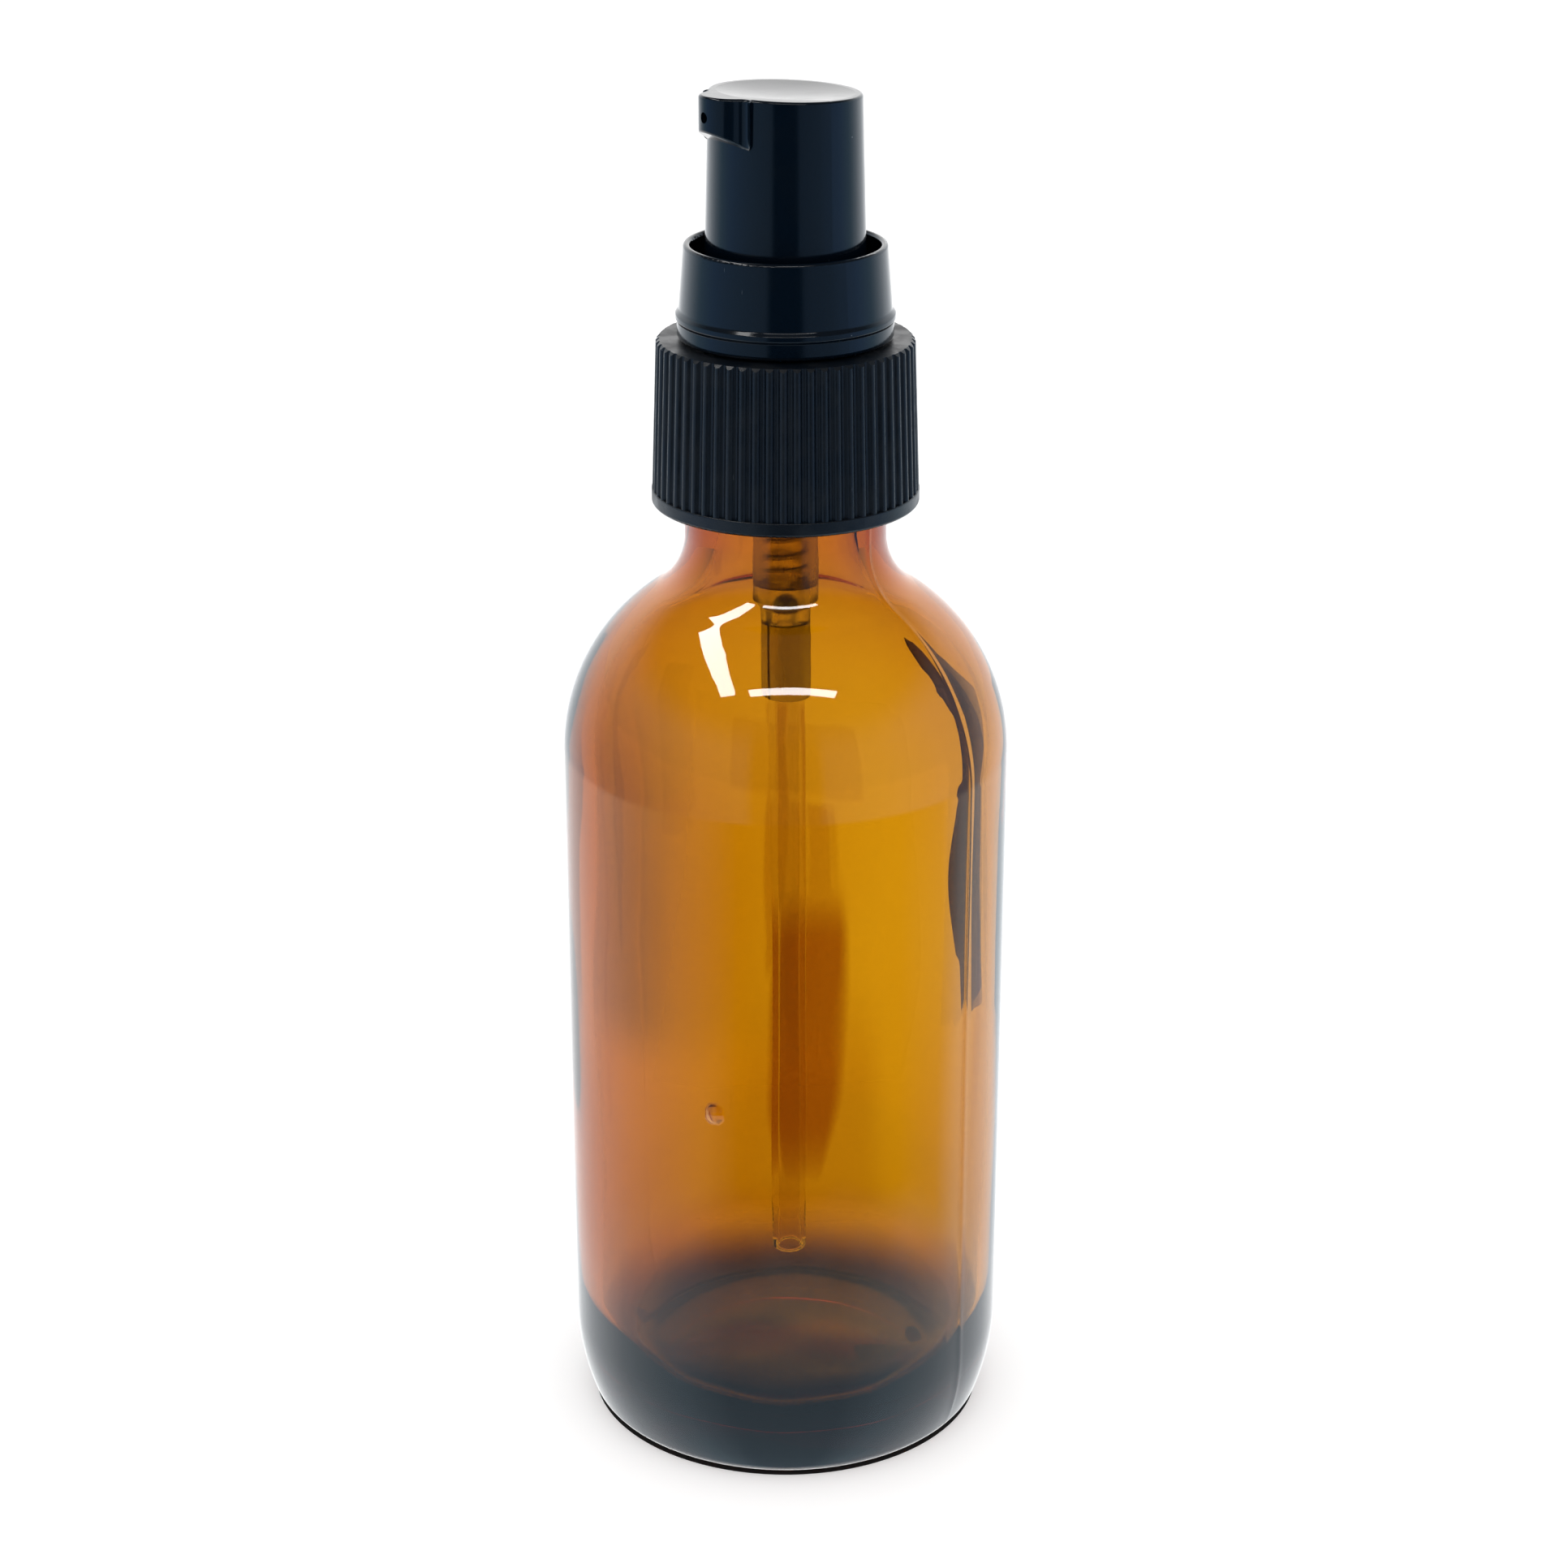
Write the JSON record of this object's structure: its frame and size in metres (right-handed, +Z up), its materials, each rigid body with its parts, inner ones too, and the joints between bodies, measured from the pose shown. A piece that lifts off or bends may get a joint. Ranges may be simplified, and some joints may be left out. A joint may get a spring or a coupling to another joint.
{
  "type": "pump oil bottle",
  "caption": "Round amber glass bottle with a ribbed screw-on treatment pump, a smooth collar sleeve and a press-down head with a short beak.",
  "frame": {"origin": "centre of the base, on the bottle's axis", "axes": "+Z up along the bottle's axis; the pump head's beak points to -Y at rest"},
  "size_m": [0.039, 0.039, 0.121],
  "materials": {
    "amber_glass": "clear amber container glass, fire polished",
    "black_satin": "black moulded polypropylene, satin with fine grain",
    "black_gloss": "black moulded polypropylene, glossy",
    "natural_plastic": "natural translucent polypropylene",
    "natural_tube": "natural translucent polyethylene",
    "white_plastic": "white moulded polyethylene",
    "white_foam": "white closed-cell polyethylene foam",
    "spring_steel": "drawn stainless spring wire",
    "polished_steel": "polished stainless ball"
  },
  "bodies": {
    "bottle_root": {"bottle": "amber_glass"},
    "pump": {"housing": "natural_plastic", "chaplet": "natural_plastic", "shroud": "black_gloss", "gasket": "white_foam", "dip_tube": "natural_tube", "ball_retainer": "natural_plastic"},
    "cap": {"closure": "black_satin"},
    "plunger": {"piston_rod": "white_plastic", "return_spring": "spring_steel"},
    "head": {"actuator": "black_gloss", "stem": "white_plastic"},
    "sliding_piston": {"piston": "white_plastic"},
    "inlet_valve": {"inlet_ball": "polished_steel"}
  },
  "joints": [
    {"name": "pump_lift", "type": "slide", "parent": "bottle_root", "child": "pump", "axis": [0, 0, 1], "range_m": [0, 0.00397]},
    {"name": "closure_turn", "type": "hinge", "parent": "pump", "child": "cap", "pos_m": [0, 0, 0.0928], "axis": [0, 0, 1], "range_deg": [0, 450]},
    {"name": "pump_stroke", "type": "slide", "parent": "pump", "child": "plunger", "axis": [0, 0, -1], "range_m": [0, 0.0045], "stiffness_N_per_m": 1150, "springref_m": -0.0049, "deforming": ["return_spring"]},
    {"name": "head_swivel", "type": "hinge", "parent": "plunger", "child": "head", "pos_m": [0, 0, 0.11], "axis": [0, 0, 1], "continuous": true},
    {"name": "piston_slip", "type": "slide", "parent": "plunger", "child": "sliding_piston", "axis": [0, 0, 1], "range_m": [0, 0.0008]},
    {"name": "ball_lift", "type": "slide", "parent": "pump", "child": "inlet_valve", "axis": [0, 0, 1], "range_m": [0, 0.0008]}
  ],
  "couplings": [
    {"joint": "pump_lift", "follows": "closure_turn", "m_per_rad": 0.00050532}
  ]
}
